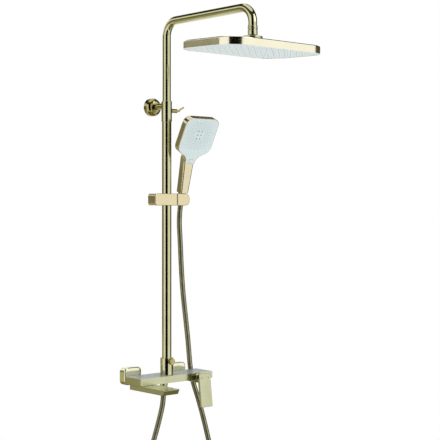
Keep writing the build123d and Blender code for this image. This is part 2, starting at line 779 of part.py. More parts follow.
# Swivel at the arm's end: a nipple in the tube, a nut, a seat ring and the ball stud of the rain head
nipple_bottom = arm_drop_end - nipple_height
thread_bottom = nipple_bottom - swivel_thread_length
nut_base = nipple_bottom - swivel_nut_height
ball_centre = (0, arm_y, ball_z)
with BuildPart() as arm_nipple:
    rod(level(nipple_bottom, 0, arm_y), nipple_r, nipple_height)
    fillet(arm_nipple.edges().filter_by(GeomType.CIRCLE), collar_edge)
    with Locations(level(nipple_bottom + nipple_height / 2, 0, arm_y)):
        Torus(nipple_r, swivel_groove, mode=Mode.SUBTRACT)
    rod(level(arm_drop_end, 0, arm_y), upper_tube_bore_r - seat, nipple_spigot)
    rod(level(thread_bottom, 0, arm_y), swivel_thread_r - seat, swivel_thread_length)
    rod(level(thread_bottom, 0, arm_y), plug_bore_r, swivel_thread_length + nipple_height + nipple_spigot,
        Mode.SUBTRACT)
    with Locations(ball_centre):
        Sphere(ball_r + easy, mode=Mode.SUBTRACT)
save(arm_nipple, "arm_nipple")

with BuildPart() as swivel_nut:
    rod(level(nut_base, 0, arm_y), swivel_nut_r, swivel_nut_height)
    fillet(swivel_nut.edges().sort_by(Axis.Z)[0], collar_edge)
    with Locations(level(nipple_bottom - swivel_groove_drop, 0, arm_y)):
        Torus(swivel_nut_r, swivel_groove, mode=Mode.SUBTRACT)
    rod(level(ball_z, 0, arm_y), swivel_thread_r, nipple_bottom - ball_z, Mode.SUBTRACT)
    rod(level(nut_base, 0, arm_y), nut_mouth_r, ball_z - nut_base, Mode.SUBTRACT)
    with Locations(ball_centre):
        Sphere(ball_r + ball_play, mode=Mode.SUBTRACT)
save(swivel_nut, "swivel_nut")

with BuildPart() as ball_seat:
    rod(level(ball_z, 0, arm_y), swivel_thread_r - running, thread_bottom - easy - ball_z)
    with Locations(ball_centre):
        Sphere(ball_r + ball_play, mode=Mode.SUBTRACT)
save(ball_seat, "ball_seat")


# Rain head: every piece is set out below the ball on one plane that leans with the head
lean = math.radians(head_lean)
head_plane = Plane(origin=ball_centre, x_dir=(1, 0, 0), z_dir=(0, -math.sin(lean), math.cos(lean)))
shell_top = boss_below_ball + head_boss_height
shell_bottom = shell_top + head_height
chamber_top = shell_top + head_wall
face_bottom = shell_bottom - face_inset
face_top = face_bottom - face_thickness
mat_top = face_top - mat_thickness
inner_width = head_width - 2 * (head_wall + face_margin)
inner_depth = head_depth - 2 * (head_wall + face_margin)
inner_corner = head_corner - head_wall - face_margin
with BuildPart() as ball_stud:
    with Locations(head_plane):
        Sphere(ball_r)
    rod(head_plane.offset(-boss_below_ball), ball_neck_r, boss_below_ball)
    rod(head_plane.offset(-boss_below_ball - stud_thread_length), stud_thread_r, stud_thread_length)
    rod(head_plane.offset(-boss_below_ball - stud_thread_length), ball_neck_r / 2,
        boss_below_ball + stud_thread_length + ball_r, Mode.SUBTRACT)
save(ball_stud, "ball_stud")

with BuildPart() as head_boss:
    with BuildSketch(head_plane.offset(-shell_top)):
        Circle(head_boss_r)
    extrude(amount=head_boss_height)
    fillet(head_boss.edges().group_by(Axis.Z)[-1], head_edge / 2)
    rod(head_plane.offset(-shell_top), stud_thread_r + seat, head_boss_height, Mode.SUBTRACT)
save(head_boss, "head_boss")

with BuildPart() as head_shell:
    with BuildSketch(head_plane.offset(-shell_bottom)):
        RectangleRounded(head_width, head_depth, head_corner)
    extrude(amount=head_height)
    fillet(head_shell.faces().sort_by(Axis.Z)[-1].edges(), head_edge)
    with BuildSketch(head_plane.offset(-shell_bottom)):
        RectangleRounded(head_width - 2 * head_wall, head_depth - 2 * head_wall, head_corner - head_wall)
    extrude(amount=head_height - head_edge, mode=Mode.SUBTRACT)
    with BuildSketch(head_plane.offset(-shell_bottom)):
        RectangleRounded(head_width - 2 * head_edge, head_depth - 2 * head_edge, head_corner - head_edge)
    extrude(amount=head_height - head_wall, mode=Mode.SUBTRACT)
    rod(head_plane.offset(-shell_bottom), stud_thread_r + seat, head_height, Mode.SUBTRACT)
save(head_shell, "head_shell")

chamber_width = head_width - 2 * (head_edge + face_margin)
chamber_depth = head_depth - 2 * (head_edge + face_margin)
chamber_corner = head_corner - head_edge - face_margin
with BuildPart() as water_chamber:
    with BuildSketch(head_plane.offset(-mat_top)):
        RectangleRounded(chamber_width, chamber_depth, chamber_corner)
    extrude(amount=mat_top - chamber_top)
    with BuildSketch(head_plane.offset(-mat_top)):
        RectangleRounded(
            chamber_width - 2 * chamber_wall, chamber_depth - 2 * chamber_wall, chamber_corner - chamber_wall
        )
    extrude(amount=mat_top - chamber_top - chamber_wall, mode=Mode.SUBTRACT)
    rod(head_plane.offset(-mat_top), stud_thread_r + seat, mat_top - chamber_top, Mode.SUBTRACT)
save(water_chamber, "water_chamber")

with BuildPart() as nozzle_mat:
    with BuildSketch(head_plane.offset(-face_top)):
        RectangleRounded(inner_width, inner_depth, inner_corner)
    extrude(amount=mat_thickness)
    with BuildSketch(head_plane.offset(-face_bottom - nozzle_out)):
        with GridLocations(nozzle_pitch, nozzle_pitch, nozzle_columns, nozzle_rows):
            Circle(nozzle_r)
    extrude(amount=face_thickness + nozzle_out)
save(nozzle_mat, "nozzle_mat")

with BuildPart() as spray_face:
    with BuildSketch(head_plane.offset(-face_bottom)):
        RectangleRounded(inner_width, inner_depth, inner_corner)
        with GridLocations(nozzle_pitch, nozzle_pitch, nozzle_columns, nozzle_rows):
            Circle(nozzle_r + nozzle_play, mode=Mode.SUBTRACT)
    extrude(amount=face_thickness)
save(spray_face, "spray_face")


# Slider on the lower tube, its bush and the pivot that the holder tilts on
slider_bottom = slider_middle - slider_height / 2
slider_back = riser_to_wall - slider_depth / 2
slider_bush_r = lower_tube_r + running + slider_bush_wall
holder_left = slider_right + holder_gap
holder_right = holder_x + holder_end
with BuildPart() as slider_body:
    with BuildSketch(facing_room(slider_back, (slider_right - slider_left) / 2, slider_middle)):
        Rectangle(slider_left + slider_right, slider_height)
    extrude(amount=slider_depth)
    fillet(slider_body.edges().filter_by(Axis.Y).group_by(Axis.X)[0], slider_corner)
    rims = slider_body.edges().group_by(Axis.Y)[0] + slider_body.edges().group_by(Axis.Y)[-1]
    fillet(rims, slider_edge)
    rod(level(slider_bottom, 0, riser_y), slider_bush_r + seat, slider_height, Mode.SUBTRACT)
    rod(facing_right(slider_right - pivot_in_slider, riser_y, slider_middle), pivot_r + seat, pivot_in_slider,
        Mode.SUBTRACT)
save(slider_body, "slider_body")

with BuildPart() as slider_bush:
    rod(level(slider_bottom, 0, riser_y), slider_bush_r, slider_height)
    rod(level(slider_bottom, 0, riser_y), lower_tube_r + running, slider_height, Mode.SUBTRACT)
save(slider_bush, "slider_bush")

with BuildPart() as pivot_bolt:
    rod(facing_right(slider_right - pivot_in_slider, riser_y, slider_middle), pivot_r,
        pivot_in_slider + holder_gap + pivot_in_holder)
save(pivot_bolt, "pivot_bolt")


# Holder: a round-ended block with a leaning conical socket and a slot that lets the hose in
pivot_point = (holder_x, riser_y, slider_middle)
handle_plane = leaning(pivot_point, handle_lean)
cone_top = cone_length - cone_below
with BuildPart() as holder:
    with BuildSketch(facing_room(slider_back, (holder_left + holder_right) / 2, slider_middle)):
        Rectangle(holder_right - holder_left, slider_height)
    extrude(amount=slider_depth)
    fillet(holder.edges().filter_by(Axis.Y).group_by(Axis.X)[-1], holder_round)
    rims = holder.edges().group_by(Axis.Y)[0] + holder.edges().group_by(Axis.Y)[-1]
    fillet(rims, slider_edge)
    with Locations(handle_plane.offset(-cone_below)):
        Cone(cone_bottom_r + easy, cone_top_r + easy, cone_length,
            align=(Align.CENTER, Align.CENTER, Align.MIN),
             mode=Mode.SUBTRACT)
    rod(handle_plane.offset(-slider_height), cone_bottom_r + easy, slider_height - cone_below, Mode.SUBTRACT)
    with BuildSketch(handle_plane.offset(-slider_height)):
        with Locations((slider_depth / 2, 0)):
            Rectangle(slider_depth, hose_slot)
    extrude(amount=2 * slider_height, mode=Mode.SUBTRACT)
    rod(facing_right(holder_left, riser_y, slider_middle), pivot_r + running,
        pivot_in_holder + easy, Mode.SUBTRACT)
save(holder, "holder")


# Hand shower: a handle lofted into a flat head, a spray face with a tongue, nozzles, jets and a mode button
face_origin = handle_plane.offset(handle_top).from_local_coords((0, -handle_top_depth / 2, 0))
face_plane = leaning(face_origin, face_lean, facing_front=True)
spray_y = (hand_head_top + hand_head_bottom) / 2


def hand_outline(inset):
    """The front outline of the head and its tongue, drawn in by the inset."""
    half = hand_head_width / 2
    with BuildSketch() as outline:
        Polygon(
            (-hand_tongue_half, 0), (hand_tongue_half, 0),
            (hand_neck_half, hand_neck_half), (half, hand_head_bottom),
            (half, hand_head_top), (-half, hand_head_top),
            (-half, hand_head_bottom), (-hand_neck_half, hand_neck_half),
            align=None,
        )
        fillet(outline.vertices().group_by(Axis.Y)[-1], hand_corner)
        fillet([v for v in outline.vertices() if abs(v.Y - hand_head_bottom) < seat], hand_lower_corner)
        fillet([v for v in outline.vertices() if abs(v.Y - hand_neck_half) < seat], hand_neck_round)
        if inset:
            offset(amount=-inset, mode=Mode.REPLACE)
    return outline.sketch


button_hole_depth = button_length - button_out + button_travel + easy
with BuildPart() as handle_loft:
    with BuildSketch(handle_plane.offset(handle_bottom)):
        RectangleRounded(handle_bottom_width, handle_bottom_depth, handle_corner)
    with BuildSketch(handle_plane.offset(handle_top + handle_lap)):
        RectangleRounded(handle_top_width, handle_top_depth - handle_taper, handle_corner)
    loft()
    fillet(handle_loft.faces().sort_by(Axis(face_origin, handle_plane.z_dir))[-1].edges(), handle_end_round)
handle_form = handle_loft.part

with BuildPart() as hand_shell:
    with BuildSketch(face_plane.offset(-hand_thickness)):
        add(hand_outline(0))
    extrude(amount=hand_thickness)
    back_edges = hand_shell.faces().sort_by(Axis(face_origin, face_plane.z_dir))[0].edges()
    fillet([e for e in back_edges if face_plane.to_local_coords(e.center()).Y > seat], hand_back_edge)
    front_edges = hand_shell.faces().sort_by(Axis(face_origin, face_plane.z_dir))[-1].edges()
    fillet([e for e in front_edges if face_plane.to_local_coords(e.center()).Y > seat], hand_front_edge)
    add(handle_form)
    with BuildSketch(face_plane.offset(-hand_face_thickness)):
        add(hand_outline(hand_rim))
    extrude(amount=hand_face_thickness, mode=Mode.SUBTRACT)
    with BuildSketch(face_plane.offset(-hand_face_thickness - hand_cavity)):
        with Locations((0, spray_y)):
            RectangleRounded(
                hand_head_width - 2 * hand_cavity_side,
                hand_head_top - hand_head_bottom - 2 * hand_cavity_end,
                hand_lower_corner,
            )
    extrude(amount=hand_cavity, mode=Mode.SUBTRACT)
    with BuildSketch(face_plane.offset(-button_hole_depth)):
        with Locations((0, button_up)):
            RectangleRounded(button_width + 2 * easy, button_height + 2 * easy, collar_edge)
    extrude(amount=button_hole_depth, mode=Mode.SUBTRACT)
    rod(handle_plane.offset(handle_bottom - handle_thread_length), handle_thread_r, handle_thread_length)
    rod(handle_plane.offset(handle_bottom - handle_thread_length), handle_thread_r / 2,
        handle_thread_length + handle_thread_r, Mode.SUBTRACT)
save(hand_shell, "hand_shell")

with BuildPart() as hand_face:
    with BuildSketch(face_plane.offset(-hand_face_thickness)):
        add(hand_outline(hand_rim + seat))
        with Locations((0, button_up)):
            RectangleRounded(button_width + 2 * easy, button_height + 2 * easy, collar_edge, mode=Mode.SUBTRACT)
        with Locations((0, spray_y)):
            for radius, count in hand_rings:
                with PolarLocations(radius, count):
                    Circle(hand_nozzle_r + nozzle_play, mode=Mode.SUBTRACT)
            with GridLocations(jet_pitch, jet_rise, 2, 3):
                Circle(jet_r + nozzle_play, mode=Mode.SUBTRACT)
    extrude(amount=hand_face_thickness)
save(hand_face, "hand_face")

with BuildPart() as hand_nozzles:
    with BuildSketch(face_plane.offset(-hand_face_thickness - hand_mat_thickness)):
        with Locations((0, spray_y)):
            RectangleRounded(
                hand_head_width - 2 * hand_cavity_side - 2 * easy,
                hand_head_top - hand_head_bottom - 2 * hand_cavity_end - 2 * easy,
                hand_lower_corner,
            )
            with GridLocations(jet_pitch, jet_rise, 2, 3):
                Circle(jet_r + easy, mode=Mode.SUBTRACT)
    extrude(amount=hand_mat_thickness)
    with BuildSketch(face_plane.offset(-hand_face_thickness)):
        with Locations((0, spray_y)):
            for radius, count in hand_rings:
                with PolarLocations(radius, count):
                    Circle(hand_nozzle_r)
    extrude(amount=hand_face_thickness + hand_nozzle_out)
save(hand_nozzles, "hand_nozzles")

with BuildPart() as hand_jets:
    jet_base = hand_face_thickness + hand_mat_thickness
    with BuildSketch(face_plane.offset(-jet_base - hand_mat_thickness)):
        with Locations((0, spray_y)):
            Rectangle(2 * jet_pitch, 3 * jet_rise)
    extrude(amount=hand_mat_thickness)
    with BuildSketch(face_plane.offset(-jet_base)):
        with Locations((0, spray_y)):
            with GridLocations(jet_pitch, jet_rise, 2, 3):
                Circle(jet_r)
    extrude(amount=jet_base + hand_nozzle_out)
save(hand_jets, "hand_jets")

with BuildPart() as mode_button:
    with BuildSketch(face_plane.offset(button_out - button_length)):
        with Locations((0, button_up)):
            RectangleRounded(button_width, button_height, collar_edge)
    extrude(amount=button_length)
    fillet(mode_button.faces().sort_by(Axis.Y)[0].edges(), collar_edge / 2)
save(mode_button, "mode_button")


# Upper hose nut in the holder's socket, its washer and the inner end of the hose
thread_end = handle_bottom - handle_thread_length
washer_bottom = thread_end - washer_thickness
with BuildPart() as upper_hose_nut:
    with Locations(handle_plane.offset(-cone_below)):
        Cone(cone_bottom_r, cone_top_r, cone_length, align=(Align.CENTER, Align.CENTER, Align.MIN))
    rod(handle_plane.offset(washer_bottom), handle_thread_r + seat, cone_top - washer_bottom, Mode.SUBTRACT)
    rod(handle_plane.offset(-cone_below), cone_bore_r, cone_below + easy, Mode.SUBTRACT)
    rod(handle_plane, inner_hose_r + seat, cone_top, Mode.SUBTRACT)
save(upper_hose_nut, "upper_hose_nut")

with BuildPart() as hose_washer:
    rod(handle_plane.offset(washer_bottom), handle_thread_r, washer_thickness)
    rod(handle_plane.offset(washer_bottom), handle_thread_r / 2, washer_thickness, Mode.SUBTRACT)
save(hose_washer, "hose_washer")

with BuildPart() as hose_inner_end:
    rod(handle_plane.offset(washer_bottom - inner_hose_length), inner_hose_r, inner_hose_length)
    rod(handle_plane.offset(washer_bottom - inner_hose_length), handle_thread_r / 2, inner_hose_length,
        Mode.SUBTRACT)
save(hose_inner_end, "hose_inner_end")


# Hose: a ribbed tube that hangs from the hand shower, passes behind the shelf, loops and rises to the outlet
hose_top_z = shelf_bottom - outlet_height - easy
hose_points = [
    Vector(*pivot_point),
    handle_plane.from_local_coords(Vector(0, 0, -hose_straight)),
    *[Vector(right, riser_y + back, up) for right, back, up in hose_way],
    Vector(outlet_x, riser_y, hose_top_z - hose_rise),
    Vector(outlet_x, riser_y, hose_top_z),
]
bend_radii = []
for before, corner, after in zip(hose_points, hose_points[1:], hose_points[2:]):
    run_in = corner - before
    run_out = after - corner
    half_turn = math.radians(run_in.get_angle(run_out)) / 2
    bend_radii.append(hose_bend * min(run_in.length, run_out.length) / math.tan(half_turn))
with BuildLine() as hose_line:
    FilletPolyline(*hose_points, radius=bend_radii)
hose_path = hose_line.wire()
rib_pitch = (hose_path.length - 2 * hose_end) / hose_ribs
valley_r = hose_r - rib_depth
hose_sections = [(0, valley_r)]
for rib in range(hose_ribs):
    rib_start = hose_end + rib * rib_pitch
    for share, radius in ((0.05, valley_r), (0.2, hose_r), (0.8, hose_r), (0.95, valley_r)):
        hose_sections.append((rib_start + share * rib_pitch, radius))
hose_sections.append((hose_path.length, valley_r))
with BuildPart() as hose:
    for along, radius in hose_sections:
        tangent = hose_path.tangent_at(along, position_mode=PositionMode.LENGTH)
        back = Vector(0, 1, 0) - tangent * tangent.Y
        with BuildSketch(Plane(hose_path.position_at(along, position_mode=PositionMode.LENGTH), back, tangent)):
            Circle(radius)
    loft(ruled=True)
    with BuildSketch(Plane(hose_points[0], (1, 0, 0), hose_path.tangent_at(0))):
        Circle(hose_bore_r)
    sweep(path=hose_path, mode=Mode.SUBTRACT)
save(hose, "hose")
mean_section = math.pi * ((valley_r**2 + 3 * hose_r**2) / 4 - hose_bore_r**2)
print("hose bends from", round(min(bend_radii)), "to", round(max(bend_radii)), "mm")
print("hose length", round(hose_path.length), "mm")
print("hose volume", round(hose.part.volume), "against", round(mean_section * hose_path.length))
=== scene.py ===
"""Dressing of a wall shower column: its hose, its gold finishes, its spray faces and their soft pips."""
import math

import bpy
import numpy as np
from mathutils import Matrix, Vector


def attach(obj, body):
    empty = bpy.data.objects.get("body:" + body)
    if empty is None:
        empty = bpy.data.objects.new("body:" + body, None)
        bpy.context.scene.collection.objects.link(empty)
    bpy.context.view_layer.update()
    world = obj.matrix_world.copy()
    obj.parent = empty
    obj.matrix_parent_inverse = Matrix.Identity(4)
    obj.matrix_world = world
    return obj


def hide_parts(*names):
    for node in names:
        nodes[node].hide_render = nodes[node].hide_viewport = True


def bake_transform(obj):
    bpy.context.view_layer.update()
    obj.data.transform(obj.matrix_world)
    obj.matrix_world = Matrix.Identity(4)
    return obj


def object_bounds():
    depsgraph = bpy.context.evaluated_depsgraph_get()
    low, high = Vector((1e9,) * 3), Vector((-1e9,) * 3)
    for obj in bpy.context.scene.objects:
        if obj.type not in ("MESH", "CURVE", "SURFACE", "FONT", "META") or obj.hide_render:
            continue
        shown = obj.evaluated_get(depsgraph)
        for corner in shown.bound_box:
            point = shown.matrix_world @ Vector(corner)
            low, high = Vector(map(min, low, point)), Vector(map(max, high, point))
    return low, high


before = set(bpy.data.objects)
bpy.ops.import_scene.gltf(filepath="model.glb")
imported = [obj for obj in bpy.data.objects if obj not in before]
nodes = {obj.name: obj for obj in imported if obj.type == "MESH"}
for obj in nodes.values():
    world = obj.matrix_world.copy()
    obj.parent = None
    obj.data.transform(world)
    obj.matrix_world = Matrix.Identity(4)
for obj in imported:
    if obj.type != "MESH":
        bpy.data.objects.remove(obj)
cad_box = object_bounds()


# Studio: the photograph's camera, and a white surround.
# The surround is plain white to the eye and in reflections, and lights matt surfaces a little less.
scene = bpy.context.scene
scene.view_settings.view_transform = "Standard"
camera = bpy.data.objects.new("camera", bpy.data.cameras.new("camera"))
scene.collection.objects.link(camera)
camera.location = (-1.9256, -2.4988, 0.446)
camera.rotation_euler = (math.radians(90), 0, math.radians(-40.96))
camera.data.sensor_width = 36
camera.data.lens = 96.4
camera.data.shift_x = 0.0007
camera.data.shift_y = -0.0327
scene.camera = camera

world = bpy.data.worlds.new("surround")
scene.world = world
world.use_nodes = True
tree = world.node_tree
tree.nodes.clear()
rays = tree.nodes.new("ShaderNodeLightPath")
seen = tree.nodes.new("ShaderNodeMath")
seen.operation = "MAXIMUM"
mirrored = tree.nodes.new("ShaderNodeMath")
mirrored.operation = "MAXIMUM"
white = tree.nodes.new("ShaderNodeBackground")
white.inputs["Color"].default_value = (1, 1, 1, 1)
white.inputs["Strength"].default_value = 1.0
soft = tree.nodes.new("ShaderNodeBackground")
soft.inputs["Color"].default_value = (1, 1, 1, 1)
soft.inputs["Strength"].default_value = 0.82
choose = tree.nodes.new("ShaderNodeMixShader")
out = tree.nodes.new("ShaderNodeOutputWorld")
tree.links.new(rays.outputs["Is Camera Ray"], seen.inputs[0])
tree.links.new(rays.outputs["Is Glossy Ray"], seen.inputs[1])
tree.links.new(seen.outputs[0], mirrored.inputs[0])
tree.links.new(rays.outputs["Is Transmission Ray"], mirrored.inputs[1])
tree.links.new(mirrored.outputs[0], choose.inputs[0])
tree.links.new(soft.outputs[0], choose.inputs[1])
tree.links.new(white.outputs[0], choose.inputs[2])
tree.links.new(choose.outputs[0], out.inputs["Surface"])


def smooth_mesh(name, points, faces):
    """A smooth mesh from points and the numbers of each face's corners, put in the scene."""
    mesh = bpy.data.meshes.new(name)
    mesh.from_pydata(points.reshape(-1, 3).tolist(), [], faces)
    mesh.polygons.foreach_set("use_smooth", np.ones(len(mesh.polygons), dtype=bool))
    mesh.update()
    piece = bpy.data.objects.new(name, mesh)
    scene.collection.objects.link(piece)
    return piece


def grid_mesh(name, points, close_v=False):
    """A mesh from rows of points: each four neighbours make a face, and closed rows join their ends."""
    rows, columns = points.shape[:2]
    row, here = np.meshgrid(np.arange(rows - 1), np.arange(columns if close_v else columns - 1), indexing="ij")
    low, high, after = row * columns, (row + 1) * columns, (here + 1) % columns
    faces = np.stack([low + here, high + here, high + after, low + after], -1)
    return smooth_mesh(name, points, faces.reshape(-1, 4).tolist())


def level_disc(name, centre, reach):
    """A level disc round a centre: rings of the given radii, the first of them next to nothing."""
    angle = np.linspace(0, 2 * np.pi, 96, endpoint=False)
    ring = np.stack([np.cos(angle), np.sin(angle), np.zeros_like(angle)], -1)
    return grid_mesh(name, np.array(reach)[:, None, None] * ring + np.array(centre), close_v=True)


def new_finish(name):
    """A new material, its node tree and its principled shader."""
    finish = bpy.data.materials.new(name)
    finish.use_nodes = True
    return finish, finish.node_tree, finish.node_tree.nodes["Principled BSDF"]


# Floor: a plain pale disc that fades into the white surround, far enough down to clear the hose.
# The fade is for the camera's eye alone, so the floor still takes the column's shadow and shows in the metal.
lowest = cad_box[0][2]
floor_centre = (0, -0.2, lowest - 0.012)
floor = level_disc("floor", floor_centre, [0.0005, 0.3, 0.6, 0.9, 1.1])
paint, tree, shade = new_finish("pale_floor")
shade.inputs["Base Color"].default_value = (0.86, 0.86, 0.85, 1)
shade.inputs["Roughness"].default_value = 0.8
place = tree.nodes.new("ShaderNodeTexCoord")
away = tree.nodes.new("ShaderNodeVectorMath")
away.operation = "DISTANCE"
away.inputs[1].default_value = floor_centre
fade = tree.nodes.new("ShaderNodeMapRange")
fade.inputs["From Min"].default_value = 0.5
fade.inputs["From Max"].default_value = 1.05
rays = tree.nodes.new("ShaderNodeLightPath")
share = tree.nodes.new("ShaderNodeMath")
share.operation = "MULTIPLY"
glow = tree.nodes.new("ShaderNodeEmission")
glow.inputs["Strength"].default_value = 1.0
mix = tree.nodes.new("ShaderNodeMixShader")
tree.links.new(place.outputs["Object"], away.inputs[0])
tree.links.new(away.outputs["Value"], fade.inputs["Value"])
tree.links.new(fade.outputs["Result"], share.inputs[0])
tree.links.new(rays.outputs["Is Camera Ray"], share.inputs[1])
tree.links.new(share.outputs[0], mix.inputs[0])
tree.links.new(shade.outputs[0], mix.inputs[1])
tree.links.new(glow.outputs[0], mix.inputs[2])
tree.links.new(mix.outputs[0], tree.nodes["Material Output"].inputs["Surface"])
floor.data.materials.append(paint)


# Lamp: one large soft square, high on the right in front of the column.
lamp = bpy.data.objects.new("soft_lamp", bpy.data.lights.new("soft_lamp", "AREA"))
scene.collection.objects.link(lamp)
lamp.data.shape = "RECTANGLE"
lamp.data.size = 1.6
lamp.data.size_y = 1.6
lamp.data.energy = 16
lamp.location = (0.9, -2.6, 2.2)
lamp.rotation_euler = (math.radians(58), 0, math.radians(16))


# Cards that a photographer stands round metal to draw its edges: a dark one by the camera, brown ones on the
# flanks, overhead and on the ground. Each shows only in reflections.
def hang_card(board, colour):
    """Give a board an even glow of this colour, and hide it from all but reflections."""
    card = bpy.data.materials.new(board.name)
    card.use_nodes = True
    tree = card.node_tree
    tree.nodes.clear()
    glow = tree.nodes.new("ShaderNodeEmission")
    glow.inputs["Color"].default_value = (*colour, 1)
    out = tree.nodes.new("ShaderNodeOutputMaterial")
    tree.links.new(glow.outputs[0], out.inputs["Surface"])
    board.data.materials.append(card)
    board.visible_camera = False
    board.visible_diffuse = False
    board.visible_shadow = False


card_ring = 4.2
card_bearing = math.atan2(-2.43, -1.93)  # about where the camera stands
for label, start, end, low, high, grey in (  # degrees round from that bearing, heights, brightness
    ("card_front", -29, 26, -2.5, 3.5, 0.004),
    ("card_left", -160, -79, -0.35, 1.6, 0.20),
    ("card_left_low", -160, -80, -2.5, -0.35, 0.42),
    ("card_right", 94, 160, -2.5, 3.5, 0.07),
    ("card_over", -170, 170, 3.2, 7.5, 0.04),
):
    height, turn = np.meshgrid(
        np.linspace(low, high, 4), card_bearing + np.radians(np.linspace(start, end, 24)), indexing="ij"
    )
    upright = np.stack([card_ring * np.cos(turn), card_ring * np.sin(turn), height], -1)
    hang_card(grid_mesh(label, upright), (grey, 0.93 * grey, 0.56 * grey))
hang_card(level_disc("card_ground", (0, 0, lowest - 0.010), [0.002, 0.4, 0.8, 1.2]), (0.20, 0.18, 0.09))


# Hose: a wound metal strip round a soft inner tube, in dull gold brown, in one loop behind and below the shelf.
# Its line is a smooth spline drawn by the route of the part's source; the strip's turns are a helical groove.
hose_turn = 0.0031
hose_r = 0.007
hose_groove = 0.0009
hose_plain_end = 0.012  # the turns rise over this length from each plain end
crown_breadth = 1.6  # above 1, each turn has a flat crown
rings_per_turn = 6
hose_facets = 20
lean = math.radians(13.5)  # of the handle, whose line the hose leaves along
route = [  # in millimetres
    (49.0, -68.0, 462.0),
    (49.0, -68.0 + 44.0 * math.sin(lean), 462.0 - 44.0 * math.cos(lean)),
    (61.8, -48.0, 352.0),
    (76.8, -34.0, 278.0),
    (90.8, -24.0, 209.0),
    (105.6, -17.0, 143.0),
    (118.2, -13.0, 74.0),
    (124.6, -12.0, 15.0),
    (130.3, -14.0, -27.0),
    (146.0, -28.0, -93.0),
    (159.5, -42.0, -169.0),
    (172.0, -54.0, -250.0),
    (172.0, -62.0, -320.0),
    (150.0, -66.0, -390.0),
    (106.0, -68.0, -440.0),
    (54.0, -68.0, -453.0),
    (3.0, -66.0, -432.0),
    (-40.0, -64.0, -375.0),
    (-62.0, -62.0, -305.0),
    (-62.0, -60.0, -235.0),
    (-37.0, -60.0, -168.0),
    (-21.0, -64.5, -112.0),
    (-10.0, -68.0, -63.8),
    (-10.0, -68.0, -22.8),
]
curve = bpy.data.curves.new("hose_line", "CURVE")
curve.dimensions = "3D"
curve.resolution_u = 24
spline = curve.splines.new("NURBS")
spline.points.add(len(route) - 1)
controls = np.array([(x / 1000, y / 1000, z / 1000, 1) for x, y, z in route])
spline.points.foreach_set("co", controls.ravel())
spline.order_u = 3
spline.use_endpoint_u = True
guide = bpy.data.objects.new("hose_line", curve)
scene.collection.objects.link(guide)
bpy.context.view_layer.update()
line = bpy.data.meshes.new_from_object(guide)
path = np.zeros(len(line.vertices) * 3)
line.vertices.foreach_get("co", path)
path = path.reshape(-1, 3)
bpy.data.objects.remove(guide)
bpy.data.meshes.remove(line)


def tube_frames(points):
    """Along a line: its length so far, and two crosswise axes kept steady by the direction of the wall."""
    step = np.diff(points, axis=0)
    along = np.concatenate([[0], np.cumsum(np.linalg.norm(step, axis=1))])
    ahead = np.gradient(points, along, axis=0)
    ahead /= np.linalg.norm(ahead, axis=1)[:, None]
    side = np.array([0, 1.0, 0]) - ahead * ahead[:, 1:2]
    side /= np.linalg.norm(side, axis=1)[:, None]
    return along, side, np.cross(ahead, side)


along, _, _ = tube_frames(path)
hose_length = along[-1]
at = np.linspace(0, hose_length, int(hose_length / hose_turn * rings_per_turn))
centre = np.stack([np.interp(at, along, path[:, i]) for i in range(3)], -1)
_, side, across = tube_frames(centre)
round_angle = np.linspace(0, 2 * np.pi, hose_facets, endpoint=False)
phase = (at[:, None] / hose_turn - round_angle / (2 * np.pi)) % 1.0
bulge = np.clip(np.sin(np.pi * phase) * crown_breadth, 0, 1)
ends = np.clip(np.minimum(at, hose_length - at) / hose_plain_end, 0, 1)[:, None]
radius = hose_r - hose_groove * (1 - bulge * ends)
skin = (
    centre[:, None, :]
    + radius[..., None] * np.cos(round_angle)[None, :, None] * side[:, None, :]
    + radius[..., None] * np.sin(round_angle)[None, :, None] * across[:, None, :]
)
hose = grid_mesh("hose_skin", skin, close_v=True)
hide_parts("hose")
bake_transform(hose)


# Finish of the hose: the strip is bright on the crown of each turn, and its groove is painted dark as shade.
# The turns are read from the mesh itself, so the colour follows the winding.
turn_mark = hose.data.attributes.new("crown", "FLOAT", "POINT")
turn_mark.data.foreach_set("value", (bulge * ends).astype(np.float32).ravel())
strip, tree, shade = new_finish("wound_strip")
shade.inputs["Metallic"].default_value = 1.0
crown = tree.nodes.new("ShaderNodeAttribute")
crown.attribute_name = "crown"
place = tree.nodes.new("ShaderNodeTexCoord")
tarnish = tree.nodes.new("ShaderNodeTexNoise")
tarnish.inputs["Scale"].default_value = 55.0
tarnish.inputs["Detail"].default_value = 4.0
# Painted shade: the groove between the turns is coloured near black in place of its shadow.
groove_shade = tree.nodes.new("ShaderNodeMix")
groove_shade.data_type = "RGBA"
groove_shade.inputs["A"].default_value = (0.055, 0.048, 0.024, 1)
groove_shade.inputs["B"].default_value = (0.56, 0.53, 0.36, 1)
patch = tree.nodes.new("ShaderNodeMix")
patch.data_type = "RGBA"
patch.blend_type = "MULTIPLY"
patch.inputs["Factor"].default_value = 0.45
dull = tree.nodes.new("ShaderNodeMapRange")
dull.inputs["To Min"].default_value = 0.42
dull.inputs["To Max"].default_value = 0.18
tree.links.new(place.outputs["Object"], tarnish.inputs["Vector"])
tree.links.new(crown.outputs["Fac"], groove_shade.inputs["Factor"])
tree.links.new(groove_shade.outputs["Result"], patch.inputs["A"])
tree.links.new(tarnish.outputs["Fac"], patch.inputs["B"])
tree.links.new(patch.outputs["Result"], shade.inputs["Base Color"])
tree.links.new(crown.outputs["Fac"], dull.inputs["Value"])
tree.links.new(dull.outputs["Result"], shade.inputs["Roughness"])
hose.data.materials.append(strip)


